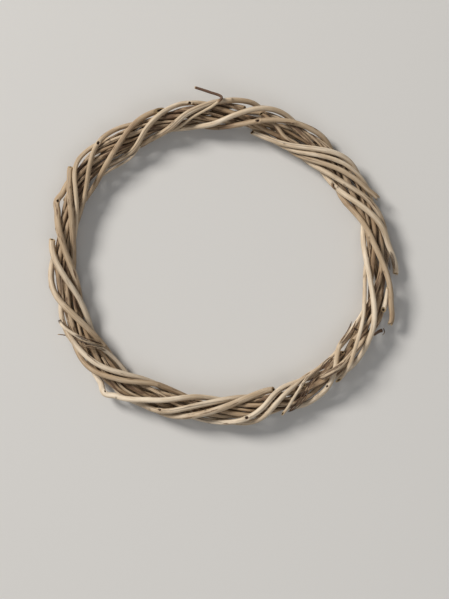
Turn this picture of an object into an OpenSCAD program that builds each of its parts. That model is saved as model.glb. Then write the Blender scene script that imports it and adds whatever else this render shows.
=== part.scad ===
// Natural willow wreath frame: thin rods wound by hand into a round, loosely twisted ring that
// lies flat. Every rod is a solid of its own, and the rods hold each other by friction.
// +Z is up and the ring rests on z = 0 with the middle of its outline over the origin. Ring
// angles run clockwise, seen from above, from the +Y side. Millimetres throughout.

/* [Ring] */
// Diameter of the ring's middle line
ring_d = 225; // [180:5:320]
// Half the width of the wound bundle, between rod centres
lay_w = 9.2; // [9:0.2:12]
// Half the height of the wound bundle, between rod centres
lay_h = 8.4; // [8:0.2:12]

/* [Rods] */
// Thickness of the rods over their natural size; the bundle that they make follows it
rod_scale = 1; // [0.8:0.05:1.2]
// How far the core rods lie inside the wrap rods; the thickness of the rods follows it
core_depth = 4.6; // [4.2:0.1:5]
// How far outside the core rods the thin rods lie
thin_out = 0.6; // [0.5:0.05:0.7]
// Sides of a rod's section
rod_sides = 8; // [8:2:10]
// Greatest ring angle between two sections of a rod
rod_step = 4.4; // [3:0.2:6]

/* [Bark and shoots] */
// Thickness of the loose strips of bark
strip_t = 0.7; // [0.5:0.1:1]
// Thickness of the hair-thin twiglets
hair_d = 0.9; // [0.6:0.1:1.4]

/* [Hidden] */
// The depth that the rods' natural thickness gives. The two layers lie against each other, so a
// smaller or greater depth makes the rods, and the bundle that they make, thinner or thicker.
set_depth = 4.6;
rod_share = rod_scale * core_depth / set_depth;

// Height of the section's centre over the table: rods at the bottom settle flat on the table
centre_h = rod_share * (lay_h + 1.9);

// The bundle that the points of the shoots and bark strips were set out on: half width, half height
set_out = [9.2, 8.4];

// Brings the middle of the outline over the origin
outline_shift = [-4.3, -4.9];

// Ring angle, and how far the middle line runs outside (+) or inside (-) the true circle there
middle_line = [[0, -2], [30, -3], [55, 0], [80, 4.5], [105, 8], [125, 4], [145, 1.5], [160, -2],
    [187, -5], [205, -4.5], [220, 0.5], [250, 0], [275, 2], [305, 4.5], [330, 0], [345, -1.5]];

// Ring angle, and how much wider (+) or narrower (-) than usual the bundle is there
spread = [[0, 1.4], [35, 1.5], [60, 0.8], [77, -0.6], [105, 1.9], [118, -0.8], [137, -1],
    [157, 1], [187, -0.8], [205, 0], [220, 1], [240, -0.2], [265, -0.2], [283, -1.4],
    [308, 1.2], [322, 1.2], [335, -0.6], [350, 0]];

// Wrap rods wind clockwise from the inner edge over the top to the outer edge. A rod is its name,
// its diameter at the first end and at the last, the ring angles of both ends, the number of its
// first mark and the ring angles of its marks. Mark 0 is at the inner edge, 1 on the top, 2 at the
// outer edge, 3 underneath, 4 at the inner edge again, and so on. Last come its nudges, each with
// a ring angle, a half width in degrees, and how far it moves the rod outward and up there.
wraps = [
    ["wrap_rod_01", 3.6, 4.2, 119, 256, -1, [123, 142, 157, 171, 192, 212, 228, 248, 263], []],
    ["wrap_rod_02", 3.2, 4.4, 264, 454, -1,
        [262, 283, 297.5, 309, 330, 351, 368.3, 383, 398, 414, 430.3, 446, 490],
        [[452, 10, 3, 0]]],
    ["wrap_rod_03", 4.6, 2.5, 130, 250.5, -1, [133, 149, 162.5, 181, 206, 228, 240.5, 251],
        [[249, 7, 1.5, 3]]],
    ["wrap_rod_04", 3.6, 4.2, 272, 470, -1,
        [270, 290, 307, 321, 341, 360, 378.6, 398, 411, 424, 446.3, 470, 492],
        [[470, 8, 4, 0]]],
    ["wrap_rod_05", 3.8, 4.4, 14, 146, -1, [-8, 22, 41.5, 55, 70, 84, 107.7, 124, 141], []],
    ["wrap_rod_06", 4.8, 4.4, 155, 277, 0, [162, 181.5, 199, 217, 235, 251.3, 264, 283], []],
    ["wrap_rod_07", 3.6, 4.4, 285, 342, -1, [283, 302, 322, 339, 360], []],
    ["wrap_rod_08", 4.2, 4.6, 151, 279, -1, [155, 172, 191.5, 206, 228, 250, 267, 280], []],
    ["wrap_rod_09", 4.2, 2.8, 292, 495.5, -1,
        [301, 320, 333.7, 348, 366, 389, 406.5, 422, 438, 456, 480, 496], [[483, 11, 0, 3.2]]],
    ["wrap_rod_10", 3.4, 4.4, 72, 243, 2, [70, 96, 122, 132, 143, 165, 186, 202, 221, 242],
        [[221, 3.8, 3.2, 0], [131, 10, 0, -1.7]]],
    ["wrap_rod_11", 4.8, 3.8, 248, 428.5, -1,
        [243, 262, 278, 292, 313, 334, 348.3, 371, 381, 396, 412.7, 430],
        [[291, 3.8, 2.2, 0], [429, 6, 3, 0]]],
    ["wrap_rod_12", 4.4, 2.1, 24, 157.5, -1, [27, 43, 61.5, 79, 102, 136, 150.5, 159], []],
    ["wrap_rod_13", 4, 4.4, 175, 304, -1, [180, 203, 222, 236, 256, 275, 292.5, 305],
        [[304, 5, 2, 0]]]
];

// Core rods wind the other way inside the wraps, and their marks are only where they cross the top
cores = [
    ["core_rod_1", 3.8, 3.4, 15.5, 370.4, -3, [-50, 22.5, 95, 160, 230, 310, 382.5],
        [[17, 6, 1.2, -0.3], [28, 6, -2, 0]]],
    ["core_rod_2", 3.8, 3.4, 125, 480, -3, [40, 111, 178, 256, 328, 400, 471, 538],
        [[460, 15, -3.4, -0.6]]],
    ["core_rod_3", 3, 4.6, 144, 498, -3, [58, 131, 195, 276, 346, 418, 492, 555],
        [[493, 11, 0, 7.8]]],
    ["core_rod_4", 3.6, 3.2, 320, 675, -3, [292, 366, 440, 503, 572, 652, 726],
        [[482, 8, 0, -0.6]]]
];

// Thin rods wind midway between two of the core rods, and a little outside them: a name, the
// first and the last diameter, the ring angles of both ends, and which core rods, counted from 0
thins = [
    ["thin_rod_1", 2.2, 2, 150, 231, [3, 0]],
    ["thin_rod_2", 2.2, 2, 150, 368, [0, 1]],
    ["thin_rod_3", 1.9, 2, 224, 440, [1, 2]],
    ["thin_rod_4", 2.2, 2, 313, 451, [2, 3]],
    ["thin_rod_5", 2, 2.2, 298, 369, [3, 0]]
];

// The hoop rod in the middle, which the others are wound round: a name, both diameters, the ring
// angles of both ends, and how far it wanders outward and up
hoops = [["hoop_rod", 2.6, 2.4, 122, 443, [0.2, 0.2]]];

// Shoots and stubs that follow a route of their own: name, first and last diameter, and points
// that give the ring angle, how far outside the middle line and how high over the centre they are
shoots = [
    ["broken_shoot", 2.4, 2.0, [[339, -7.9, -0.7], [341.5, -7.9, 1.4], [345, -6.9, 4.3],
        [350, -2.9, 6.8], [355, 1, 7.6], [358.5, 4.2, 9.3], [361.5, 10.4, 9.8], [357, 14.7, 7.8],
        [352.5, 18.9, 6.3]]],
    ["loop_shoot", 1.6, 1.8, [[306, -9.3, -4.5], [311, -11.8, -2], [316, -13.7, -0.5],
        [321, -13.5, 0.5], [327, -9.3, 2]]],
    ["pale_stub", 3.8, 4.2, [[97.5, 7, 1.6], [100, 6.6, 1.4], [103, 6.2, 1.6], [106.5, 5.8, 2.6]]],
    ["bark_curl", 3.0, 1.8, [[112, 11.6, -0.2], [113, 9.4, 0.4], [115, 7.2, 0.8]]],
    ["snag_inner", 1.8, 1.2, [[55, -9.8, 4.2], [56.4, -11.2, 4.9], [57.8, -10.8, 5.4]]],
    ["snag_right", 1.6, 1.2, [[115.5, -4.4, 7.2], [115.6, -6.6, 7.6], [115.2, -8.8, 8]]],
    ["twiglet_left", hair_d, hair_d * 0.7, [[244.6, 10.8, 1.4], [245.4, 13.2, 2.8],
        [246, 15.8, 3.6]]],
    ["twiglet_right", hair_d, hair_d * 0.7, [[111.4, 11.4, 0.8], [111.9, 12.8, 0],
        [112.6, 13.8, -1], [113.6, 13.6, -1.8]]]
];

// Strips of dry bark: name, width, and one list of points for each strip of the group
bark_strips = [
    ["bark_binding", 1.4, [
        [[233, -10, 5], [236, -6.3, 8.8], [239, -1, 10.8], [241.5, 4.2, 9.2]],
        [[234.5, -10.2, 5], [237.5, -6.4, 8.6], [240.6, -1.6, 11.4], [243.6, 4, 9.8]],
        [[231.4, -9.2, 4.8], [234.4, -5.8, 8.8], [237, -0.8, 10.2], [239.5, 4.8, 8.4]]]],
    ["bark_ribbon", 2, [
        [[138.5, -6.2, 6.2], [141, -4.2, 7], [144, -1.6, 7.4], [148, 3.2, 6], [151, 6.8, 3],
            [153.5, 9, -0.4], [155, 10, -2.4]],
        [[128.5, -7.4, 4.8], [131, -8, 5.4], [134, -7.4, 5.8], [136.5, -6.4, 6.2]]]],
    ["frayed_bark", 1.2, [
        [[84.5, 5.2, 3.8], [87.5, 6.6, 3.8], [90.5, 7.6, 3.6], [92.5, 7.8, 3.2]],
        [[86, 9.6, 2.6], [89, 10.8, 2.2], [92, 11.2, 1.8]]]],
    ["bark_fibres", 0.9, [
        [[112, -9.4, 1.2], [116, -8, 2], [120, -7.8, 2.8], [123, -8.2, 3.4]],
        [[113, -11.4, 0.6], [117, -10, 1.6], [121, -9.6, 2.6], [124, -9.8, 3.2]]]]
];

// The name of every node

// A smooth hump of height 1 around x = 0 that ends at x = -1 and x = 1
function hump(x) = abs(x) >= 1 ? 0 : (1 + cos(180 * x)) / 2;

// Value of a round table at ring angle a, eased from one entry to the next
function round_table(t, a) =
    let(w = ((a % 360) + 360) % 360,
        k = concat(t, [[t[0][0] + 360, t[0][1]]]),
        i = max([for (j = [0:len(k) - 2]) if (k[j][0] <= w) j]),
        s = hump(1 - (w - k[i][0]) / (k[i + 1][0] - k[i][0])))
    k[i][1] + (k[i + 1][1] - k[i][1]) * s;

function middle_r(a) = ring_d / 2 + round_table(middle_line, a);
function half_w(a) = lay_w + round_table(spread, a);

// Place of a point: ring angle, how far outside the middle line, how high over the centre
function place(a, out, up) =
    let(r = middle_r(a) + rod_share * out)
    [r * sin(a) + outline_shift[0], r * cos(a) + outline_shift[1], centre_h + rod_share * up];

// Place of a point of a shoot or bark strip, which keeps its place on the bundle: it moves out or
// up as much as the rods on its side do
function place_on(p) =
    let(turn = atan2(p[2] / set_out[1], p[1] / set_out[0]))
    place(p[0], p[1] + (lay_w - set_out[0]) * cos(turn), p[2] + (lay_h - set_out[1]) * sin(turn));

// How many marks a rod has passed at ring angle a, on a smooth curve through its marks
function slope(marks, k) =
    let(i = max(0, k - 1), j = min(len(marks) - 1, k + 1))
    (j - i) / (marks[j] - marks[i]);
function passed(marks, a) =
    let(k = min(len(marks) - 2, max([0, for (j = [0:len(marks) - 1]) if (marks[j] <= a) j])),
        h = marks[k + 1] - marks[k],
        u = (a - marks[k]) / h,
        m0 = slope(marks, k), m1 = slope(marks, k + 1))
    u < 0 ? m0 * h * u
    : u > 1 ? k + 1 + m1 * h * (u - 1)
    : k + (u ^ 3 - 2 * u ^ 2 + u) * h * m0 + (3 * u ^ 2 - 2 * u ^ 3) + (u ^ 3 - u ^ 2) * h * m1;

// Moves of all of a rod's nudges at ring angle a: outward (way 2) or up (way 3)
function nudged(nudges, a, way) =
    len(nudges) == 0 ? 0
    : [for (n = nudges) hump((a - n[0]) / n[1]) * n[way]] * [for (n = nudges) 1];

// Middle of a rod at ring angle a; it never sinks into the table. A rod that lies at some depth
// inside the wrap rods winds the core rods' way
function rod_point(rod, a, depth) =
    let(mark = rod[5] + (depth > 0 ? 4 : 1) * passed(rod[6], a),
        turn = depth > 0 ? 90 * mark : 180 - 90 * mark,
        r = (rod[1] + (rod[2] - rod[1]) * (a - rod[3]) / (rod[4] - rod[3])) / 2,
        out = (half_w(a) - depth) * cos(turn) + nudged(rod[7], a, 2),
        up = (lay_h - depth) * sin(turn) + nudged(rod[7], a, 3))
    place(a, out, max(up, r - centre_h / rod_share));

// Turn of a core rod round the bundle at ring angle a, and the middle of a thin rod there
function core_turn(rod, a) =
    90 * (rod[5] + 4 * passed(rod[6], rod[3] + (((a - rod[3]) % 360) + 360) % 360));
function thin_point(rod, a) =
    let(turns = [for (i = rod[5]) core_turn(cores[i], a)],
        way = unit([cos(turns[0]) + cos(turns[1]), sin(turns[0]) + sin(turns[1])]),
        depth = set_depth - thin_out)
    place(a, (half_w(a) - depth) * way[0], (lay_h - depth) * way[1]);

function hoop_point(rod, a) = place(a, rod[5][0] * sin(2 * a), rod[5][1] * cos(3 * a));

// Point at u = 0..1 of a smooth curve through points b and c, with a and d before and after them
function curve(a, b, c, d, u) =
    (2 * b + (c - a) * u + (2 * a - 5 * b + 4 * c - d) * u ^ 2
    + (3 * b - a - 3 * c + d) * u ^ 3) / 2;
function smooth_route(points, steps) =
    let(p = [for (q = points) place_on(q)], n = len(p) - 1)
    [for (i = [0:n - 1], j = [0:steps - 1])
        curve(p[max(0, i - 1)], p[i], p[i + 1], p[min(n, i + 2)], j / steps), p[n]];

function unit(v) = v / norm(v);

// Sweeps a section along a route. Its width and thickness run evenly from w[0], t[0] at the first
// end to w[1], t[1] at the last, and one corner always points down.
module sweep(route, w, t, sides) {
    n = len(route) - 1;
    points = [for (i = [0:n])
        let(ahead = unit(route[min(n, i + 1)] - route[max(0, i - 1)]),
            side = unit(cross(ahead, [0, 0, 1])),
            rise = cross(side, ahead),
            half_width = (w[0] + (w[1] - w[0]) * i / n) / 2,
            half_thick = (t[0] + (t[1] - t[0]) * i / n) / 2)
        for (k = [0:sides - 1])
            let(f = 360 * k / sides - 90)
            route[i] + half_width * cos(f) * side + half_thick * sin(f) * rise];
    walls = [for (i = [0:n - 1], k = [0:sides - 1])
        let(a = i * sides + k, b = i * sides + (k + 1) % sides)
        [a, a + sides, b + sides, b]];
    first_end = [for (k = [0:sides - 1]) k];
    last_end = [for (k = [sides - 1:-1:0]) n * sides + k];
    polyhedron(points, concat(walls, [first_end, last_end]));
}

// Ring angles of the sections of a rod
function sections(rod) =
    let(n = ceil((rod[4] - rod[3]) / rod_step))
    [for (i = [0:n]) rod[3] + (rod[4] - rod[3]) * i / n];

// A rod of the ring, round and evenly tapered
module ring_rod(rod, route) {
    d = rod_share * [rod[1], rod[2]];
    sweep(route, d, d, rod_sides);
}

// A shoot or stub, round and evenly tapered
module shoot(piece) {
    d = rod_share * [piece[1], piece[2]];
    color("peru") sweep(smooth_route(piece[3], 4), d, d, rod_sides);
}

// A group of loose bark strips, flat and diamond-shaped in section
module bark(group) {
    for (points = group[2])
        color("saddlebrown")
            sweep(smooth_route(points, 3), rod_share * [group[1], group[1]],
                rod_share * [strip_t, strip_t], 4);
}

for (rod = wraps) color("burlywood") ring_rod(rod, [for (a = sections(rod)) rod_point(rod, a, 0)]);
for (rod = cores) color("tan") ring_rod(rod, [for (a = sections(rod)) rod_point(rod, a, set_depth)]);
for (rod = thins) color("tan") ring_rod(rod, [for (a = sections(rod)) thin_point(rod, a)]);
for (rod = hoops) color("tan") ring_rod(rod, [for (a = sections(rod)) hoop_point(rod, a)]);
for (piece = shoots) shoot(piece);
for (group = bark_strips) bark(group);
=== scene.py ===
import math
import random

import bmesh
import bpy
from mathutils import Matrix, Vector, noise
from mathutils.kdtree import KDTree


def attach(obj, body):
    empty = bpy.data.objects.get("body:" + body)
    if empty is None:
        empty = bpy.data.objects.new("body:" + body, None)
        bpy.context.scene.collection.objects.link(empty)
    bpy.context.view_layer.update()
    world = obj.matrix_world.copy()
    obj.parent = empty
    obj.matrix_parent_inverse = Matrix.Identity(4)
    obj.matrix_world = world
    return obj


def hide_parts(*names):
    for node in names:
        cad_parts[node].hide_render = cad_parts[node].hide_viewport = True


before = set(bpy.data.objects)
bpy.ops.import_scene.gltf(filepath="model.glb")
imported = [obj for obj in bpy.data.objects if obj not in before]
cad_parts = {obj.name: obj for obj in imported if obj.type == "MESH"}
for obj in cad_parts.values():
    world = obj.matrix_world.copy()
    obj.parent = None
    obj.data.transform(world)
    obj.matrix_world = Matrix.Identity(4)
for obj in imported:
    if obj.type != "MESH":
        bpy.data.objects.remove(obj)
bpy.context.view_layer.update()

# The finished look of a natural willow wreath frame. Every rod, shoot and strip of bark is made
# straight first, with its swellings, creases, scars and ends, and is then bent along the route
# that its solid has in the frame. Tables are in millimetres and ring degrees, clockwise from +Y
# as seen from above; the mesh is in metres.
MM = 0.001

# ---------------------------------------------------------------- how fine and how rough it is
ROD_SIDES, SHOOT_SIDES, HAIR_SIDES, FIBRE_SIDES = 20, 14, 8, 10
ROD_STEP, SHOOT_STEP, FIBRE_STEP = 1.1 * MM, 0.6 * MM, 0.5 * MM    # mesh cells along a piece
HAIR_THICK = 1         # mm: shoots up to this thickness get few sides
SWELL = 0.975          # usual thickness of a rod, as a share of its solid's
SWAY = 0.2 * MM        # how far a rod wanders from its route
CREASES = 2            # drying creases along a rod
TOUCH_REACH = 3.6 * MM     # a rod whose middle line is further off than this can't touch
PAINTED_SHADE, PAINTED_SHADE_GAP = 0.8, 0.9    # darkest painted shade between rods, and the gap in mm over which it fades

# ---------------------------------------------------------------- sizes and routes of the ring
RING_D = 225
LAY_W = 9.2
LAY_H = 8.4
ROD_SCALE = 1
CORE_DEPTH = 4.6
STRIP_T = 0.7
HAIR_D = 0.9
CENTRE_H = ROD_SCALE * (LAY_H + 1.9)
OUTLINE_SHIFT = (-4.3, -4.9)

MIDDLE_LINE = [(0, -2), (30, -3), (55, 0), (80, 4.5), (105, 8), (125, 4), (145, 1.5), (160, -2),
               (187, -5), (205, -4.5), (220, 0.5), (250, 0), (275, 2), (305, 4.5), (330, 0),
               (345, -1.5)]
SPREAD = [(0, 1.4), (35, 1.5), (60, 0.8), (77, -0.6), (105, 1.9), (118, -0.8), (137, -1),
          (157, 1), (187, -0.8), (205, 0), (220, 1), (240, -0.2), (265, -0.2), (283, -1.4),
          (308, 1.2), (322, 1.2), (335, -0.6), (350, 0)]

# First and last diameter, ring angles of both ends, number of the first mark, the marks, nudges
WRAPS = {
    "wrap_rod_01": (3.6, 4.2, 119, 256, -1, [123, 142, 157, 171, 192, 212, 228, 248, 263], []),
    "wrap_rod_02": (3.2, 4.4, 264, 454, -1,
                    [262, 283, 297.5, 309, 330, 351, 368.3, 383, 398, 414, 430.3, 446, 490],
                    [(452, 10, 3, 0)]),
    "wrap_rod_03": (4.6, 2.5, 130, 250.5, -1, [133, 149, 162.5, 181, 206, 228, 240.5, 251],
                    [(249, 7, 1.5, 3)]),
    "wrap_rod_04": (3.6, 4.2, 272, 470, -1,
                    [270, 290, 307, 321, 341, 360, 378.6, 398, 411, 424, 446.3, 470, 492],
                    [(470, 8, 4, 0)]),
    "wrap_rod_05": (3.8, 4.4, 14, 146, -1, [-8, 22, 41.5, 55, 70, 84, 107.7, 124, 141], []),
    "wrap_rod_06": (4.8, 4.4, 155, 277, 0, [162, 181.5, 199, 217, 235, 251.3, 264, 283], []),
    "wrap_rod_07": (3.6, 4.4, 285, 342, -1, [283, 302, 322, 339, 360], []),
    "wrap_rod_08": (4.2, 4.6, 151, 279, -1, [155, 172, 191.5, 206, 228, 250, 267, 280], []),
    "wrap_rod_09": (4.2, 2.8, 292, 495.5, -1,
                    [301, 320, 333.7, 348, 366, 389, 406.5, 422, 438, 456, 480, 496],
                    [(483, 11, 0, 3.2)]),
    "wrap_rod_10": (3.4, 4.4, 72, 243, 2, [70, 96, 122, 132, 143, 165, 186, 202, 221, 242],
                    [(221, 3.8, 3.2, 0), (131, 10, 0, -1.7)]),
    "wrap_rod_11": (4.8, 3.8, 248, 428.5, -1,
                    [243, 262, 278, 292, 313, 334, 348.3, 371, 381, 396, 412.7, 430],
                    [(291, 3.8, 2.2, 0), (429, 6, 3, 0)]),
    "wrap_rod_12": (4.4, 2.1, 24, 157.5, -1, [27, 43, 61.5, 79, 102, 136, 150.5, 159], []),
    "wrap_rod_13": (4, 4.4, 175, 304, -1, [180, 203, 222, 236, 256, 275, 292.5, 305],
                    [(304, 5, 2, 0)]),
}
CORES = {
    "core_rod_1": (3.8, 3.4, 15.5, 370.4, -3, [-50, 22.5, 95, 160, 230, 310, 382.5],
                   [(17, 6, 1.2, -0.3), (28, 6, -2, 0)]),
    "core_rod_2": (3.8, 3.4, 125, 480, -3, [40, 111, 178, 256, 328, 400, 471, 538],
                   [(460, 15, -3.4, -0.6)]),
    "core_rod_3": (3, 4.6, 144, 498, -3, [58, 131, 195, 276, 346, 418, 492, 555],
                   [(493, 11, 0, 7.8)]),
    "core_rod_4": (3.6, 3.2, 320, 675, -3, [292, 366, 440, 503, 572, 652, 726],
                   [(482, 8, 0, -0.6)]),
}
# First and last diameter, ring angles of both ends, and the two core rods that it lies between
THIN_OUT = 0.6
THINS = {
    "thin_rod_1": (2.2, 2.0, 150, 231, ("core_rod_4", "core_rod_1")),
    "thin_rod_2": (2.2, 2.0, 150, 368, ("core_rod_1", "core_rod_2")),
    "thin_rod_3": (1.9, 2.0, 224, 440, ("core_rod_2", "core_rod_3")),
    "thin_rod_4": (2.2, 2.0, 313, 451, ("core_rod_3", "core_rod_4")),
    "thin_rod_5": (2.0, 2.2, 298, 369, ("core_rod_4", "core_rod_1")),
}
# First and last diameter, ring angles of both ends, wander outward and up
HOOP = (2.6, 2.4, 122, 443, 0.2, 0.2)
# First and last diameter, and points: ring angle, outside the middle line, over the centre
SHOOTS = {
    "broken_shoot": (2.4, 2.0, [(339, -7.9, -0.7), (341.5, -7.9, 1.4), (345, -6.9, 4.3),
        (350, -2.9, 6.8), (355, 1, 7.6), (358.5, 4.2, 9.3), (361.5, 10.4, 9.8), (357, 14.7, 7.8),
        (352.5, 18.9, 6.3)]),
    "loop_shoot": (1.6, 1.8, [(306, -9.3, -4.5), (311, -11.8, -2), (316, -13.7, -0.5),
        (321, -13.5, 0.5), (327, -9.3, 2)]),
    "pale_stub": (3.8, 4.2, [(97.5, 7, 1.6), (100, 6.6, 1.4), (103, 6.2, 1.6), (106.5, 5.8, 2.6)]),
    "bark_curl": (3.0, 1.8, [(112, 11.6, -0.2), (113, 9.4, 0.4), (115, 7.2, 0.8)]),
    "snag_inner": (1.8, 1.2, [(55, -9.8, 4.2), (56.4, -11.2, 4.9), (57.8, -10.8, 5.4)]),
    "snag_right": (1.6, 1.2, [(115.5, -4.4, 7.2), (115.6, -6.6, 7.6), (115.2, -8.8, 8)]),
    "twiglet_left": (HAIR_D, HAIR_D * 0.7, [(244.6, 10.8, 1.4), (245.4, 13.2, 2.8),
        (246, 15.8, 3.6)]),
    "twiglet_right": (HAIR_D, HAIR_D * 0.7, [(111.4, 11.4, 0.8), (111.9, 12.8, 0),
        (112.6, 13.8, -1), (113.6, 13.6, -1.8)]),
}
# Width, and one list of points for each strip of the group
BARK_STRIPS = {
    "bark_binding": (1.4, [
        [(233, -10, 5), (236, -6.3, 8.8), (239, -1, 10.8), (241.5, 4.2, 9.2)],
        [(234.5, -10.2, 5), (237.5, -6.4, 8.6), (240.6, -1.6, 11.4), (243.6, 4, 9.8)],
        [(231.4, -9.2, 4.8), (234.4, -5.8, 8.8), (237, -0.8, 10.2), (239.5, 4.8, 8.4)]]),
    "bark_ribbon": (2, [
        [(138.5, -6.2, 6.2), (141, -4.2, 7), (144, -1.6, 7.4), (148, 3.2, 6), (151, 6.8, 3),
         (153.5, 9, -0.4), (155, 10, -2.4)],
        [(128.5, -7.4, 4.8), (131, -8, 5.4), (134, -7.4, 5.8), (136.5, -6.4, 6.2)]]),
    "frayed_bark": (1.2, [
        [(84.5, 5.2, 3.8), (87.5, 6.6, 3.8), (90.5, 7.6, 3.6), (92.5, 7.8, 3.2)],
        [(86, 9.6, 2.6), (89, 10.8, 2.2), (92, 11.2, 1.8)]]),
    "bark_fibres": (0.9, [
        [(112, -9.4, 1.2), (116, -8, 2), (120, -7.8, 2.8), (123, -8.2, 3.4)],
        [(113, -11.4, 0.6), (117, -10, 1.6), (121, -9.6, 2.6), (124, -9.8, 3.2)]]),
}

# Fibres to a strip, how far in mm the outer ones bow aside, and how far all of them bow up
STRIP_FIBRES = {"bark_binding": (4, 1.6, 1.8), "bark_ribbon": (3, 3.0, 2.8),
                "frayed_bark": (4, 1.6, 0.8), "bark_fibres": (2, 0.4, 0.3)}

# ---------------------------------------------------------------- what each rod looks like
# Tone (0 = grey and dull, 1 = pale and warm), how the first and last ends are made, and side
# cuts: ring angle, direction round the rod in degrees (90 = up, 0 = outward), diameter
ROD_LOOKS = {
    "wrap_rod_01": (0.86, "slant", "broken", []),
    "wrap_rod_02": (0.58, "slant", "broken", [(397, 95, 2.7)]),
    "wrap_rod_03": (0.92, "slant", "charred", [(169, 80, 2.9)]),
    "wrap_rod_04": (0.42, "slant", "broken", [(315, 75, 2.8), (376, 100, 2.8)]),
    "wrap_rod_05": (0.80, "open", "slant", []),
    "wrap_rod_06": (0.66, "open", "slant", []),
    "wrap_rod_07": (0.36, "slant", "point", []),
    "wrap_rod_08": (0.84, "slant", "open", [(201, 60, 2.4)]),
    "wrap_rod_09": (0.60, "slant", "point", [(350, 80, 2.4)]),
    "wrap_rod_10": (0.84, "slant", "slant", [(138, 60, 2.4), (221, 40, 2.2)]),
    "wrap_rod_11": (0.48, "slant", "broken", [(291, 60, 2.6)]),
    "wrap_rod_12": (0.70, "slant", "point", []),
    "wrap_rod_13": (0.40, "slant", "open", []),
    "core_rod_1": (0.58, "open", "slant", []),
    "core_rod_2": (0.72, "slant", "slant", []),
    "core_rod_3": (0.66, "slant", "butt", []),
    "core_rod_4": (0.42, "slant", "slant", []),
    "thin_rod_1": (0.80, "slant", "slant", []),
    "thin_rod_2": (0.50, "slant", "broken", []),
    "thin_rod_3": (0.72, "slant", "slant", []),
    "thin_rod_4": (0.56, "slant", "slant", []),
    "thin_rod_5": (0.62, "slant", "broken", []),
    "hoop_rod": (0.30, "slant", "slant", []),
    "broken_shoot": (0.35, "slant", "broken", []),
    "loop_shoot": (0.62, "slant", "slant", []),
    "pale_stub": (0.95, "slant", "open", []),
    "bark_curl": (0.45, "butt", "broken", []),
    "snag_inner": (0.30, "slant", "broken", []),
    "snag_right": (0.20, "slant", "broken", []),
    "twiglet_left": (0.30, "slant", "point", []),
    "twiglet_right": (0.30, "slant", "point", []),
}
PALE = {"wrap_rod_02", "wrap_rod_05", "wrap_rod_09", "wrap_rod_10", "loop_shoot", "pale_stub"}
BARKY = {"bark_curl", "snag_right", "bark_binding", "frayed_bark"}


def slot_of(node):
    if node in PALE:
        return "pale_rod"
    if node in WRAPS:
        return "weathered_rod"
    if node in CORES or node in THINS or node == "hoop_rod":
        return "core_rod"
    return "dry_bark" if node in BARKY else "brown_shoot"


# ---------------------------------------------------------------- the routes
def hump(x):
    """A smooth hump of height 1 round x = 0 that ends at x = -1 and x = 1."""
    return 0.0 if abs(x) >= 1 else (1 + math.cos(math.pi * x)) / 2


def round_table(table, a):
    """The value of a table that runs round the ring, eased from one entry to the next."""
    w = a % 360
    table = table + [(table[0][0] + 360, table[0][1])]
    i = max(k for k in range(len(table) - 1) if table[k][0] <= w)
    (a0, v0), (a1, v1) = table[i], table[i + 1]
    return v0 + (v1 - v0) * hump(1 - (w - a0) / (a1 - a0))


def place(a, out, up):
    """Place of a point, in metres: ring angle, outside the middle line, over the centre."""
    r = RING_D / 2 + round_table(MIDDLE_LINE, a) + ROD_SCALE * out
    t = math.radians(a)
    return MM * Vector((r * math.sin(t) + OUTLINE_SHIFT[0], r * math.cos(t) + OUTLINE_SHIFT[1],
                        CENTRE_H + ROD_SCALE * up))


def passed(marks, a):
    """How many marks a rod has passed at ring angle a, on a smooth curve through its marks."""
    last = len(marks) - 1

    def slope(k):
        i, j = max(0, k - 1), min(last, k + 1)
        return (j - i) / (marks[j] - marks[i])

    k = min(last - 1, max([0] + [j for j in range(last + 1) if marks[j] <= a]))
    h = marks[k + 1] - marks[k]
    u = (a - marks[k]) / h
    m0, m1 = slope(k), slope(k + 1)
    if u < 0:
        return m0 * h * u
    if u > 1:
        return k + 1 + m1 * h * (u - 1)
    return k + (u**3 - 2 * u**2 + u) * h * m0 + (3 * u**2 - 2 * u**3) + (u**3 - u**2) * h * m1


def rod_point(rod, a, core):
    """Where a wrap rod, or a core rod one layer deeper, is at ring angle a."""
    d0, d1, start, end, first, marks, nudges = rod
    mark = first + (4 if core else 1) * passed(marks, a)
    turn = math.radians(90 * mark if core else 180 - 90 * mark)
    depth = CORE_DEPTH if core else 0
    r = (d0 + (d1 - d0) * (a - start) / (end - start)) / 2
    out = (LAY_W + round_table(SPREAD, a) - depth) * math.cos(turn)
    up = (LAY_H - depth) * math.sin(turn)
    for where, half, outward, lift in nudges:
        out += hump((a - where) / half) * outward
        up += hump((a - where) / half) * lift
    return place(a, out, max(up, r - CENTRE_H / ROD_SCALE))


def thin_point(rod, a):
    """A thin rod keeps midway between two core rods, a little outside them."""
    way = Vector((0, 0))
    for core in rod[4]:
        _, _, start, _, first, marks, _ = CORES[core]
        turn = math.radians(90 * (first + 4 * passed(marks, start + (a - start) % 360)))
        way += Vector((math.cos(turn), math.sin(turn)))
    way.normalize()
    depth = CORE_DEPTH - THIN_OUT
    return place(a, (LAY_W + round_table(SPREAD, a) - depth) * way.x, (LAY_H - depth) * way.y)


def hoop_point(rod, a):
    """The hoop rod wanders a little round the middle line."""
    return place(a, rod[4] * math.sin(math.radians(2 * a)), rod[5] * math.cos(math.radians(3 * a)))


def smooth_points(points, steps=14):
    """A smooth curve through a few points of the ring, finely divided."""
    p = [place(*q) for q in points]
    n = len(p) - 1
    fine = []
    for i in range(n):
        a, b, c, d = p[max(0, i - 1)], p[i], p[i + 1], p[min(n, i + 2)]
        for j in range(steps):
            u = j / steps
            fine.append((2 * b + (c - a) * u + (2 * a - 5 * b + 4 * c - d) * u**2
                         + (3 * b - a - 3 * c + d) * u**3) / 2)
    return fine + [p[n]]


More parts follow.
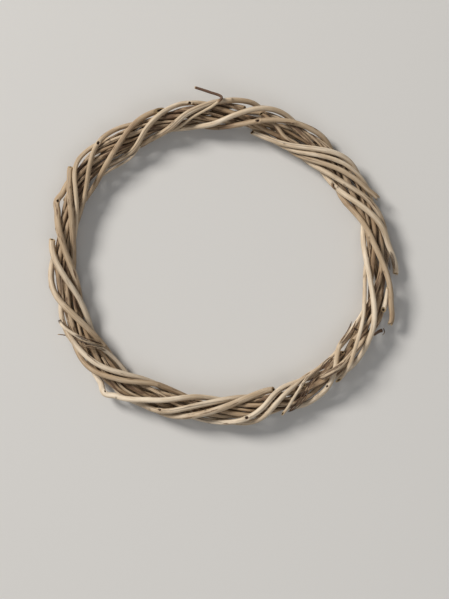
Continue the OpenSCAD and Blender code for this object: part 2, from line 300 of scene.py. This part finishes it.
class Route:
    """A route with even steps: where it is and how it lies, at any distance along it."""

    STEP = 0.5 * MM

    def __init__(self, points):
        reach = [0.0]
        for a, b in zip(points, points[1:]):
            reach.append(reach[-1] + (b - a).length)
        self.reach = reach
        self.length = reach[-1]
        self.count = max(8, round(self.length / self.STEP))
        self.at, k = [], 0
        for i in range(self.count + 1):
            s = self.length * i / self.count
            while k < len(points) - 2 and reach[k + 1] < s:
                k += 1
            share = (s - reach[k]) / (reach[k + 1] - reach[k])
            self.at.append(points[k].lerp(points[k + 1], share))
        self.ways = []
        for i in range(self.count + 1):
            ahead = (self.at[min(self.count, i + 2)] - self.at[max(0, i - 2)]).normalized()
            side = ahead.cross(Vector((0, 0, 1))).normalized()
            self.ways.append((side, side.cross(ahead), ahead))

    def bend(self, x, y, z):
        """Where a point of the straight rod ends up: x to the side, y up, z along."""
        s = min(max(z, 0.0), self.length)
        f = s / self.length * self.count
        i = min(self.count - 1, int(f))
        u = f - i
        a, b = self.ways[i], self.ways[i + 1]
        return (self.at[i].lerp(self.at[i + 1], u) + x * a[0].lerp(b[0], u)
                + y * a[1].lerp(b[1], u) + (z - s) * a[2].lerp(b[2], u))


STEPS_PER_DEGREE = 4


def ring_route(rod, point):
    """The route of a rod of the ring, and how far along it each ring angle is."""
    start, end = rod[2:4]
    steps = round((end - start) * STEPS_PER_DEGREE)
    route = Route([point(rod, start + (end - start) * i / steps) for i in range(steps + 1)])
    route.along = lambda a: route.reach[min(steps, max(0, round((a - start) * STEPS_PER_DEGREE)))]
    return route


# ---------------------------------------------------------------- making one rod
SKIN_FACE, CUT, PITH = 0, 1, 2   # material places of a rod


def straight_rod(length, r0, r1, sides, first_end, last_end, rng, step, twist):
    """A straight tapered rod along +Z with its two ends made, then divided along its length."""
    bm = bmesh.new()
    bmesh.ops.create_cone(bm, cap_ends=True, cap_tris=False, segments=sides, radius1=r0,
                          radius2=r1, depth=length)
    bmesh.ops.translate(bm, verts=bm.verts, vec=(0, 0, length / 2))
    for style, r, z, way in ((first_end, r0, 0.0, -1), (last_end, r1, length, 1)):
        lean = math.radians(rng.uniform(65, 115)) - twist * z
        finish_end(bm, style, r, z, way, lean, rng)
    long_edges = [e for e in bm.edges if abs(e.verts[0].co.z - e.verts[1].co.z) > length / 2]
    bmesh.ops.subdivide_edges(bm, edges=long_edges, cuts=max(3, round(length / step)))
    return bm


def end_face(bm, r, z):
    """The largest flat face across the rod at its end."""
    return max((f for f in bm.faces if abs(f.calc_center_median().z - z) < r / 4
                and abs(f.normal.z) > 0.9), key=lambda f: f.calc_area())


def finish_end(bm, style, r, z, way, lean, rng):
    """Turns a rod's flat end into a slanting, open, pointed, broken or rounded one."""
    # Shares of the radius: rounded rim, width of the wood in two rings, depth of the pith's pit
    rim, outer, inner, pit = (0.5, 0.1, 0.1, 0.05) if style == "butt" else (0.12, 0.24, 0.16, 0.6)
    wood, dark = (SKIN_FACE, SKIN_FACE) if style == "butt" else (CUT, PITH)
    bmesh.ops.bevel(bm, geom=list(end_face(bm, r, z).edges), offset=r * rim,
                    segments=4 if style == "butt" else 2, profile=0.5, affect="EDGES",
                    material=-1)
    cap = end_face(bm, r, z)
    cap.material_index = wood
    bmesh.ops.inset_region(bm, faces=[cap], thickness=r * outer)
    bmesh.ops.inset_region(bm, faces=[cap], thickness=r * inner)
    cap.material_index = dark
    bmesh.ops.inset_region(bm, faces=[cap], thickness=r * 0.06)
    bmesh.ops.translate(bm, verts=cap.verts, vec=(0, 0, -way * r * pit))
    bmesh.ops.poke(bm, faces=[cap])
    near = [v for v in bm.verts if abs(v.co.z - z) < r]
    slope = {"point": 2.6, "open": 0.9, "slant": rng.uniform(0.3, 0.8), "butt": 0.1,
             "broken": 0.35, "charred": 0.35}[style]
    for v in near:
        drop = slope * (v.co.x * math.cos(lean) + v.co.y * math.sin(lean) + r)
        if style in ("broken", "charred"):
            turn = math.atan2(v.co.y, v.co.x)
            drop += r * (0.5 + 0.6 * noise.noise(Vector((3 * math.cos(turn), 3 * math.sin(turn),
                                                         40 * z + v.co.xy.length / r))))
        v.co.z -= way * drop
    if style == "broken":
        torn = [f for f in bm.faces if f.material_index == CUT
                and abs(f.calc_center_median().z - z) < 3 * r]
        for f in rng.sample(torn, min(5, len(torn))):
            pulled = bmesh.ops.extrude_discrete_faces(bm, faces=[f])["faces"][0]
            bmesh.ops.translate(bm, verts=pulled.verts, vec=(0, 0, way * r * rng.uniform(0.3, 1)))
            middle = Matrix.Translation(-pulled.calc_center_median())
            bmesh.ops.scale(bm, vec=(0.35, 0.35, 1), space=middle, verts=pulled.verts)


def side_cut(bm, z, way, r, wide):
    """The stub of a cut side shoot: an uneven collar with a dark pith pit in it."""
    middle = Vector((r * math.cos(way), r * math.sin(way), z))
    for _ in range(2):
        near = {e for f in bm.faces if (f.calc_center_median() - middle).length < wide
                for e in f.edges}
        bmesh.ops.subdivide_edges(bm, edges=list(near), cuts=1, use_grid_fill=True)
    out = Vector((math.cos(way), math.sin(way), 0))
    far_side = 9.0

    def reach(p):
        """How far a point lies from the pit's middle, in half widths."""
        away = p - middle
        if away.dot(out) < -0.7 * r:
            return far_side
        flat = Vector(((away - away.project(out)).xy.length, away.z / 1.35))
        return flat.length / (wide / 2) * (1 + 0.35 * noise.noise(p * 900))

    for v in bm.verts:
        d = reach(v.co) if abs(v.co.z - z) < 2 * wide else far_side
        if d < 2.4:
            collar = 0.30 * math.exp(-((d - 1.2) / 0.5) ** 2)
            v.co += out * (wide / 2) * (collar - 0.9 * max(0.0, 1 - (d / 0.85) ** 2))
    for f in bm.faces:
        at = f.calc_center_median()
        if abs(at.z - z) < wide and reach(at) < 0.66:
            f.material_index = PITH


def rod_skin(bm, node, length, twist, sides, rng):
    """Swells and creases the straight rod, paints shade into its creases, stains its bud scars and
    charred end, and notes where each point lies on it.
    """
    tone, _, last_end, _ = ROD_LOOKS[node]
    straight = bm.verts.layers.float_vector.new("straight")
    stain = bm.verts.layers.float.new("stain")
    tint = bm.verts.layers.float.new("tone")
    buds, z = [], rng.uniform(8, 30) * MM
    while z < length - 6 * MM:
        buds.append((z, rng.uniform(0.02, 0.06), rng.uniform(-math.pi, math.pi)))
        z += rng.uniform(24, 58) * MM
    creases = [math.pi / 2 + 2 * math.pi * rng.randrange(sides) / sides for _ in range(CREASES)]
    seed = rng.uniform(0, 90)
    for v in bm.verts:
        x, y, z = v.co
        turn = math.atan2(y, x)
        v[straight] = (x, y, z + seed / 100)
        v[tint] = tone_at(node, z / length, tone) + 0.26 * noise.noise(Vector((seed, 14 * z, 0)))
        grow = (SWELL + 0.03 * math.sin(2 * turn + 30 * z + seed)
                + 0.02 * math.sin(3 * turn - 45 * z + 2 * seed)
                + 0.06 * noise.noise(Vector((seed, 0, 45 * z))))
        dark = 0.0
        # each crease is darkened by its depth: painted shade in the crease
        for k, at in enumerate(creases):
            off = abs((turn - at + math.pi) % (2 * math.pi) - math.pi)
            deep = max(0.0, noise.noise(Vector((seed, 20 * z, 30 + 9 * k))) + 0.12)
            grow -= 0.30 * deep * math.exp(-((off / 0.2) ** 2))
            dark = max(dark, min(0.6, 1.9 * deep) * math.exp(-((off / 0.16) ** 2)))
        for at, high, way in buds:
            if abs(z - at) < 7 * MM:
                near = math.exp(-(((z - at) / (2.0 * MM)) ** 2))
                off = abs((turn - way + math.pi) % (2 * math.pi) - math.pi)
                grow += high * near * (1 + 2.2 * math.exp(-((off / 0.5) ** 2)))
                spot = math.exp(-(((z - at) / (0.7 * MM)) ** 2) - (off / 0.4) ** 2)
                dark = max(dark, 0.9 * spot)
        if last_end == "charred":
            dark = max(dark, ramp((z - length + 5 * MM) / (3 * MM)))
        v[stain] = dark
        x = x * grow + SWAY * noise.noise(Vector((seed, 30 * z, 5)))
        y = y * grow + SWAY * noise.noise(Vector((seed, 30 * z, 9)))
        roll = twist * z
        v.co.x = x * math.cos(roll) - y * math.sin(roll)
        v.co.y = x * math.sin(roll) + y * math.cos(roll)


def ramp(x):
    return min(1.0, max(0.0, x))


def tone_at(node, share, tone):
    """The folded shoot is peeled up to its knee and brown after it; the butt end is pale."""
    if node == "broken_shoot":
        return 1.5 - 1.5 * ramp((share - 0.6) / 0.06)
    if node == "core_rod_3":
        return tone + 0.75 * ramp((share - 0.93) / 0.02)
    return tone


def make_rod(node, route, d0, d1, sides, step):
    """A finished rod or shoot that stands for its solid."""
    _, first_end, last_end, cuts = ROD_LOOKS[node]
    rng = random.Random(node)
    r0, r1 = MM * d0 / 2, MM * d1 / 2
    length = route.length
    twist = rng.choice((-1, 1)) * rng.uniform(5, 15)
    bm = straight_rod(length, r0, r1, sides, first_end, last_end, rng, step, twist)
    for a, way, wide in cuts:
        z = route.along(a)
        side_cut(bm, z, math.radians(way) - twist * z, r0 + (r1 - r0) * z / length, MM * wide)
    rod_skin(bm, node, length, twist, sides, rng)
    stain = bm.verts.layers.float["stain"]
    for v in bm.verts:
        v.co = route.bend(*v.co)
        # painted shade between rods goes into the same darkening as the bud scars and charred ends
        v[stain] = max(v[stain], painted_shade_at(v.co, node))
    for f in bm.faces:
        f.smooth = f.material_index == SKIN_FACE
    return finish_piece(bm, node, [SKINS[slot_of(node)], CUT_WOOD, DARK_PITH])


def lay_out():
    """Every rod's route, and a tree of points along them all that tells where rods touch."""
    routes = {}
    for rods, point, sides in ((WRAPS, lambda rod, a: rod_point(rod, a, False), ROD_SIDES),
                               (CORES, lambda rod, a: rod_point(rod, a, True), ROD_SIDES),
                               (THINS, thin_point, SHOOT_SIDES),
                               ({"hoop_rod": HOOP}, hoop_point, SHOOT_SIDES)):
        for node, rod in rods.items():
            routes[node] = (ring_route(rod, point), rod[0], rod[1], sides, ROD_STEP)
    for node, (d0, d1, points) in SHOOTS.items():
        sides = HAIR_SIDES if d0 <= HAIR_THICK else SHOOT_SIDES
        routes[node] = (Route(smooth_points(points)), d0, d1, sides, SHOOT_STEP)
    marks = [(p, node, MM * (d0 + (d1 - d0) * i / route.count) / 2)
             for node, (route, d0, d1, _, _) in routes.items()
             for i, p in enumerate(route.at) if i % 2 == 0]
    tree = KDTree(len(marks))
    for i, mark in enumerate(marks):
        tree.insert(mark[0], i)
    tree.balance()
    return routes, marks, tree


def painted_shade_at(p, node):
    """Painted shade: darkens a point where another rod lies close, as if shadow fell into the
    crevice between rods.
    """
    gap = 1.0
    for _, i, away in TREE.find_range(p, TOUCH_REACH):
        _, other, r = MARKS[i]
        if other != node:
            gap = min(gap, (away - r) / MM)
    return PAINTED_SHADE * ramp((1.0 - gap) / PAINTED_SHADE_GAP)


def make_strips(node, width, strips):
    """Loose bark: each strip of the group is split into a few cupped, frayed fibres."""
    rng = random.Random(node)
    whole = bmesh.new()
    fibres, fan, lift = STRIP_FIBRES[node]
    for points in strips:
        route = Route(smooth_points(points))
        for k in range(fibres):
            share = (k - (fibres - 1) / 2) / fibres if fibres > 1 else 0.0
            bm = one_fibre(route, width / fibres * rng.uniform(0.9, 1.7) * MM,
                           width * share * MM, fan * share, lift, rng)
            mesh = bpy.data.meshes.new("fibre")
            bm.to_mesh(mesh)
            bm.free()
            whole.from_mesh(mesh)
            bpy.data.meshes.remove(mesh)
    return finish_piece(whole, node, [SKINS[slot_of(node)]])


def one_fibre(route, wide, aside, fan, lift, rng):
    """One cupped fibre of bark, thin at both ends, that bows out from the others half way."""
    length = route.length * rng.uniform(0.84, 0.99)
    start = rng.uniform(0, route.length - length)
    thin = MM * STRIP_T * 0.42
    bm = bmesh.new()
    bmesh.ops.create_cone(bm, cap_ends=True, cap_tris=False, segments=FIBRE_SIDES, radius1=wide / 2,
                          radius2=wide / 2, depth=length)
    bmesh.ops.translate(bm, verts=bm.verts, vec=(0, 0, length / 2))
    long_edges = [e for e in bm.edges if abs(e.verts[0].co.z - e.verts[1].co.z) > length / 2]
    bmesh.ops.subdivide_edges(bm, edges=long_edges, cuts=round(length / FIBRE_STEP))
    straight = bm.verts.layers.float_vector.new("straight")
    stain = bm.verts.layers.float.new("stain")
    tint = bm.verts.layers.float.new("tone")
    seed = rng.uniform(0, 90)
    twist = math.radians(rng.uniform(-55, 55))
    mood = rng.choice((-0.1, 0.1, 0.3, 1.1))    # most fibres are dark, some are pale
    for v in bm.verts:
        x, y, z = v.co
        v[straight] = (x, y, z + seed)
        v[tint] = mood + 0.5 * noise.noise(Vector((seed, 30 * z, 0)))
        edge = abs(x) / (wide / 2)
        v[stain] = min(0.9, max(0.0, edge - 0.35) * 1.6)
        end = min(1.0, 0.16 + min(z, length - z) / (4 * MM))
        ragged = 1 + 0.28 * noise.noise(Vector((seed, 260 * z, x * 900)))
        x *= end * ragged
        y = y * thin / wide + 0.35 * x * x / wide
        roll = twist * math.sin(70 * z + seed)
        x, y = x * math.cos(roll) - y * math.sin(roll), x * math.sin(roll) + y * math.cos(roll)
        bow = math.sin(math.pi * z / length)
        x += aside * (0.5 + 0.5 * bow) + fan * MM * bow + 0.3 * MM * noise.noise(
            Vector((seed, 60 * z, 3)))
        y += 0.25 * MM * noise.noise(Vector((seed, 60 * z, 7)))
        v.co = route.bend(x, y, z + start) + Vector((0, 0, lift * MM * bow))
    for f in bm.faces:
        f.smooth = True
    return bm


def finish_piece(bm, node, finishes):
    """Makes the object that stands for its solid in the frame."""
    bmesh.ops.remove_doubles(bm, verts=bm.verts, dist=1e-6)
    bmesh.ops.recalc_face_normals(bm, faces=bm.faces)
    mesh = bpy.data.meshes.new("willow_" + node)
    bm.to_mesh(mesh)
    bm.free()
    for finish in finishes:
        mesh.materials.append(finish)
    piece = bpy.data.objects.new("willow_" + node, mesh)
    bpy.context.scene.collection.objects.link(piece)
    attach(piece, "root")
    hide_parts(node)
    return piece


# ---------------------------------------------------------------- finishes
def paint(r, g, b):
    """A colour, 0 to 255, made linear."""
    lin = [c / 255 / 12.92 if c / 255 <= 0.04045 else ((c / 255 + 0.055) / 1.055) ** 2.4
           for c in (r, g, b)]
    return (*lin, 1.0)


def put(tree, kind, settings=(), **inputs):
    """Adds a node; each input is a number, a colour or another node's socket."""
    made = tree.nodes.new(kind)
    for name, value in dict(settings).items():
        setattr(made, name, value)
    for name, value in inputs.items():
        plug = made.inputs[int(name[1:]) if name[1:].isdigit() else name.replace("_", " ")]
        if isinstance(value, bpy.types.NodeSocket):
            tree.links.new(value, plug)
        else:
            plug.default_value = value
    return made


def maths(tree, how, a, b=0.0, c=0.0):
    return put(tree, "ShaderNodeMath", {"operation": how}, i0=a, i1=b, i2=c).outputs[0]


def blend(tree, share, a, b):
    made = put(tree, "ShaderNodeMix", {"data_type": "RGBA"}, i0=share, i6=a, i7=b)
    return made.outputs[2]


def between(tree, value, low, high):
    """0 below low, 1 above high, and smooth in between."""
    made = put(tree, "ShaderNodeMapRange", {"interpolation_type": "SMOOTHSTEP"}, Value=value,
               From_Min=low, From_Max=high)
    return made.outputs[0]


def stretched(tree, vector, squash, scale, detail=3.0, rough=0.55):
    """Noise drawn out along the rod: squash is how much longer than wide its marks are."""
    lie = put(tree, "ShaderNodeVectorMath", {"operation": "MULTIPLY"}, i0=vector,
              i1=(1, 1, 1 / squash)).outputs[0]
    made = put(tree, "ShaderNodeTexNoise", {"noise_dimensions": "3D"}, Vector=lie, Scale=scale,
               Detail=detail, Roughness=rough)
    return made.outputs[0]


def group(name, ins, outs):
    """An empty node group with its sockets: (name, kind, default)."""
    tree = bpy.data.node_groups.new(name, "ShaderNodeTree")
    for label, kind, value in ins:
        made = tree.interface.new_socket(name=label, in_out="INPUT",
                                         socket_type="NodeSocket" + kind)
        if value is not None:
            made.default_value = value
    for label, kind in outs:
        tree.interface.new_socket(name=label, in_out="OUTPUT", socket_type="NodeSocket" + kind)
    return tree, tree.nodes.new("NodeGroupInput"), tree.nodes.new("NodeGroupOutput")


def grain_group():
    """Wood grain that runs along the rod: fine fibres, broad streaks, blotches, drying checks."""
    tree, given, result = group(
        "rod grain", [("Straight", "Vector", None)],
        [("Fibres", "Float"), ("Streaks", "Float"), ("Blotches", "Float"), ("Checks", "Float")])
    lie = given.outputs["Straight"]
    fibres = stretched(tree, lie, 26, 3400, 4, 0.6)
    streaks = stretched(tree, lie, 14, 900, 3)
    blotches = stretched(tree, lie, 3.2, 130, 3)
    checks = between(tree, stretched(tree, lie, 18, 1500, 2), 0.60, 0.70)
    for label, value in (("Fibres", fibres), ("Streaks", streaks), ("Blotches", blotches),
                         ("Checks", checks)):
        tree.links.new(value, result.inputs[label])
    return tree


def skin_group(grain):
    """The weathered skin of a rod, with shreds of brown bark that stayed on it."""
    tree, given, result = group(
        "willow skin",
        [("Straight", "Vector", None), ("Tone", "Float", 0.5), ("Stain", "Float", 0.0),
         ("Deep", "Color", (0, 0, 0, 1)), ("Middle", "Color", (0, 0, 0, 1)),
         ("Light", "Color", (0, 0, 0, 1)), ("Bark", "Color", (0, 0, 0, 1)),
         ("Bark Cover", "Float", 0.5)],
        [("Color", "Color"), ("Roughness", "Float"), ("Height", "Float")])
    use = given.outputs
    wood = put(tree, "ShaderNodeGroup", {"node_tree": grain}, Straight=use["Straight"])
    fibres, streaks, blotches, checks = (wood.outputs[n] for n in
                                         ("Fibres", "Streaks", "Blotches", "Checks"))
    mood = maths(tree, "ADD", maths(tree, "MULTIPLY", streaks, 0.75),
                 maths(tree, "MULTIPLY", blotches, 0.75))
    mood = maths(tree, "ADD", mood, maths(tree, "MULTIPLY", fibres, 0.35))
    mood = maths(tree, "ADD", mood, maths(tree, "MULTIPLY_ADD", use["Tone"], 0.75, -0.80))
    colour = blend(tree, between(tree, mood, 0.05, 0.48), use["Deep"], use["Middle"])
    colour = blend(tree, between(tree, mood, 0.42, 0.95), colour, use["Light"])
    # Shreds of bark: long patches with ragged edges, cut by the fibres
    shred = maths(tree, "ADD", stretched(tree, use["Straight"], 9, 420, 4, 0.65),
                  maths(tree, "MULTIPLY_ADD", fibres, 0.22, -0.11))
    limit = maths(tree, "SUBTRACT", 0.92, maths(tree, "MULTIPLY", use["Bark Cover"], 0.5))
    shreds = between(tree, maths(tree, "SUBTRACT", shred, limit), 0.0, 0.05)
    barked = blend(tree, maths(tree, "MULTIPLY", fibres, 0.8), use["Bark"], use["Deep"])
    colour = blend(tree, maths(tree, "MULTIPLY", shreds, 0.85), colour, barked)
    colour = blend(tree, maths(tree, "MULTIPLY", checks, 0.38), colour, use["Bark"])
    # darkening towards one dark brown: real stains of bud scars, charred ends and bark edges, plus
    # painted shade in creases and between rods
    colour = blend(tree, use["Stain"], colour, paint(46, 29, 19))
    dull = maths(tree, "MULTIPLY_ADD", fibres, 0.22, 0.50)
    dull = maths(tree, "ADD", dull, maths(tree, "MULTIPLY", shreds, 0.12))
    high = maths(tree, "ADD", maths(tree, "MULTIPLY", fibres, 0.45),
                 maths(tree, "MULTIPLY", streaks, 0.55))
    high = maths(tree, "ADD", high, maths(tree, "MULTIPLY", shreds, 0.35))
    high = maths(tree, "SUBTRACT", high, maths(tree, "MULTIPLY", checks, 0.45))
    tree.links.new(colour, result.inputs["Color"])
    tree.links.new(dull, result.inputs["Roughness"])
    tree.links.new(high, result.inputs["Height"])
    return tree


def fresh(name):
    """An empty material with one shader."""
    finish = bpy.data.materials.new(name)
    finish.use_nodes = True
    tree = finish.node_tree
    tree.nodes.clear()
    shader = put(tree, "ShaderNodeBsdfPrincipled")
    put(tree, "ShaderNodeOutputMaterial", Surface=shader.outputs[0])
    return finish, tree, shader


def named(tree, label, socket):
    """What make_rod or one_fibre noted at each point of the mesh."""
    return put(tree, "ShaderNodeAttribute", {"attribute_name": label}).outputs[socket]


def willow_finish(name, skin, deep, middle, light, bark, cover, bump=0.55):
    """The skin of one kind of rod: its three wood colours, its bark, and how much bark is left."""
    finish, tree, shader = fresh(name)
    rod = put(tree, "ShaderNodeGroup", {"node_tree": skin},
              Straight=named(tree, "straight", "Vector"), Tone=named(tree, "tone", "Fac"),
              Stain=named(tree, "stain", "Fac"),
              Deep=paint(*deep), Middle=paint(*middle), Light=paint(*light), Bark=paint(*bark),
              Bark_Cover=cover)
    tree.links.new(rod.outputs["Color"], shader.inputs["Base Color"])
    tree.links.new(rod.outputs["Roughness"], shader.inputs["Roughness"])
    relief = put(tree, "ShaderNodeBump", Strength=bump, Distance=0.00035,
                 Height=rod.outputs["Height"])
    tree.links.new(relief.outputs[0], shader.inputs["Normal"])
    shader.inputs["Specular IOR Level"].default_value = 0.38
    return finish


def cut_wood_finish():
    """End grain: faint year rings round the pith."""
    finish, tree, shader = fresh("willow cut end")
    straight = named(tree, "straight", "Vector")
    flat = put(tree, "ShaderNodeVectorMath", {"operation": "MULTIPLY"}, i0=straight, i1=(1, 1, 0))
    away = put(tree, "ShaderNodeVectorMath", {"operation": "LENGTH"}, i0=flat.outputs[0])
    rough = stretched(tree, straight, 1, 2600, 3)
    rings = maths(tree, "SINE", maths(tree, "MULTIPLY_ADD", away.outputs["Value"], 14000,
                                      maths(tree, "MULTIPLY", rough, 3.0)))
    share = maths(tree, "ADD", maths(tree, "MULTIPLY_ADD", rings, 0.22, 0.25),
                  maths(tree, "MULTIPLY", rough, 0.5))
    colour = blend(tree, share, paint(214, 190, 146), paint(150, 118, 78))
    tree.links.new(colour, shader.inputs["Base Color"])
    shader.inputs["Roughness"].default_value = 0.8
    relief = put(tree, "ShaderNodeBump", Strength=0.5, Distance=0.0002, Height=share)
    tree.links.new(relief.outputs[0], shader.inputs["Normal"])
    return finish


def pith_finish():
    """Dark crumbling pith, in cut ends and in the pits of side shoots."""
    finish, tree, shader = fresh("dry pith")
    crumb = stretched(tree, named(tree, "straight", "Vector"), 1, 3200, 3)
    colour = blend(tree, crumb, paint(34, 22, 15), paint(78, 54, 36))
    tree.links.new(colour, shader.inputs["Base Color"])
    shader.inputs["Roughness"].default_value = 0.92
    relief = put(tree, "ShaderNodeBump", Strength=0.6, Distance=0.0003, Height=crumb)
    tree.links.new(relief.outputs[0], shader.inputs["Normal"])
    return finish


GRAIN = grain_group()
SKIN = skin_group(GRAIN)
SKINS = {
    "pale_rod": willow_finish("pale willow rod", SKIN, (140, 112, 82), (187, 164, 134),
                              (224, 207, 183), (92, 62, 42), 0.5),
    "weathered_rod": willow_finish("weathered willow rod", SKIN, (126, 99, 73), (176, 152, 122),
                                   (212, 194, 169), (84, 56, 38), 0.62),
    # rods deep in the bundle: darker colours as painted shade, and more bark left on them
    "core_rod": willow_finish("shaded core willow rod", SKIN, (100, 74, 52), (152, 126, 96),
                              (192, 170, 141), (70, 46, 31), 0.8),
    "brown_shoot": willow_finish("brown shoot bark", SKIN, (88, 62, 44), (138, 108, 78),
                                 (196, 174, 144), (58, 38, 26), 0.75),
    "dry_bark": willow_finish("dry curled bark", SKIN, (52, 34, 24), (112, 82, 58),
                              (186, 160, 126), (40, 26, 18), 0.7, 0.8),
}
CUT_WOOD = cut_wood_finish()
DARK_PITH = pith_finish()

# ---------------------------------------------------------------- the pieces
ROUTES, MARKS, TREE = lay_out()
for node, parts in ROUTES.items():
    make_rod(node, *parts)
for node, (width, strips) in BARK_STRIPS.items():
    make_strips(node, width, strips)

# ---------------------------------------------------------------- floor, light and camera
FLOOR_DROP = 0.3 * MM      # clear of the lowest rods
bm = bmesh.new()
bmesh.ops.create_grid(bm, x_segments=1, y_segments=1, size=4)
floor_mesh = bpy.data.meshes.new("floor")
bm.to_mesh(floor_mesh)
bm.free()
floor_mesh.transform(Matrix.Translation((0, 0, -FLOOR_DROP)))
floor = bpy.data.objects.new("floor", floor_mesh)
bpy.context.scene.collection.objects.link(floor)
stone, stone_tree, stone_shader = fresh("pale floor")
stone_shader.inputs["Base Color"].default_value = paint(205, 202, 197)
stone_shader.inputs["Roughness"].default_value = 0.6
floor_mesh.materials.append(stone)


def softbox(name, place_at, size, power, colour):
    """A round soft lamp that faces the ring."""
    lamp = bpy.data.lights.new(name, "AREA")
    lamp.shape, lamp.size, lamp.energy, lamp.color = "DISK", size, power, colour
    holder = bpy.data.objects.new(name, lamp)
    holder.location = place_at
    holder.rotation_mode = "QUATERNION"
    holder.rotation_quaternion = (-Vector(place_at)).to_track_quat("-Z", "Y")
    bpy.context.scene.collection.objects.link(holder)


softbox("window", (-2.9, 2.3, 3.0), 1.6, 235, (1.0, 0.985, 0.965))
softbox("room", (0.25, -0.9, 1.3), 1.2, 4.5, (0.97, 0.98, 1.0))
world = bpy.data.worlds.new("room light")
world.use_nodes = True
glow, strength = world.node_tree.nodes["Background"].inputs[:2]
glow.default_value, strength.default_value = (0.80, 0.82, 0.85, 1), 0.28
bpy.context.scene.world = world

VIEW_HIGH = 440.265 * MM       # height of the view at the middle of the ring
VIEW_MIDDLE = (0.9 * MM, -31.5 * MM)
LENS, SENSOR = 90, 36
camera = bpy.data.cameras.new("camera")
camera.sensor_width = SENSOR
camera.lens = LENS
camera.clip_start, camera.clip_end = 0.01, 20
over = bpy.data.objects.new("camera", camera)
over.location = (*VIEW_MIDDLE, CENTRE_H * MM + VIEW_HIGH * LENS / SENSOR)
bpy.context.scene.collection.objects.link(over)
bpy.context.scene.camera = over
bpy.context.scene.view_settings.view_transform = "Standard"
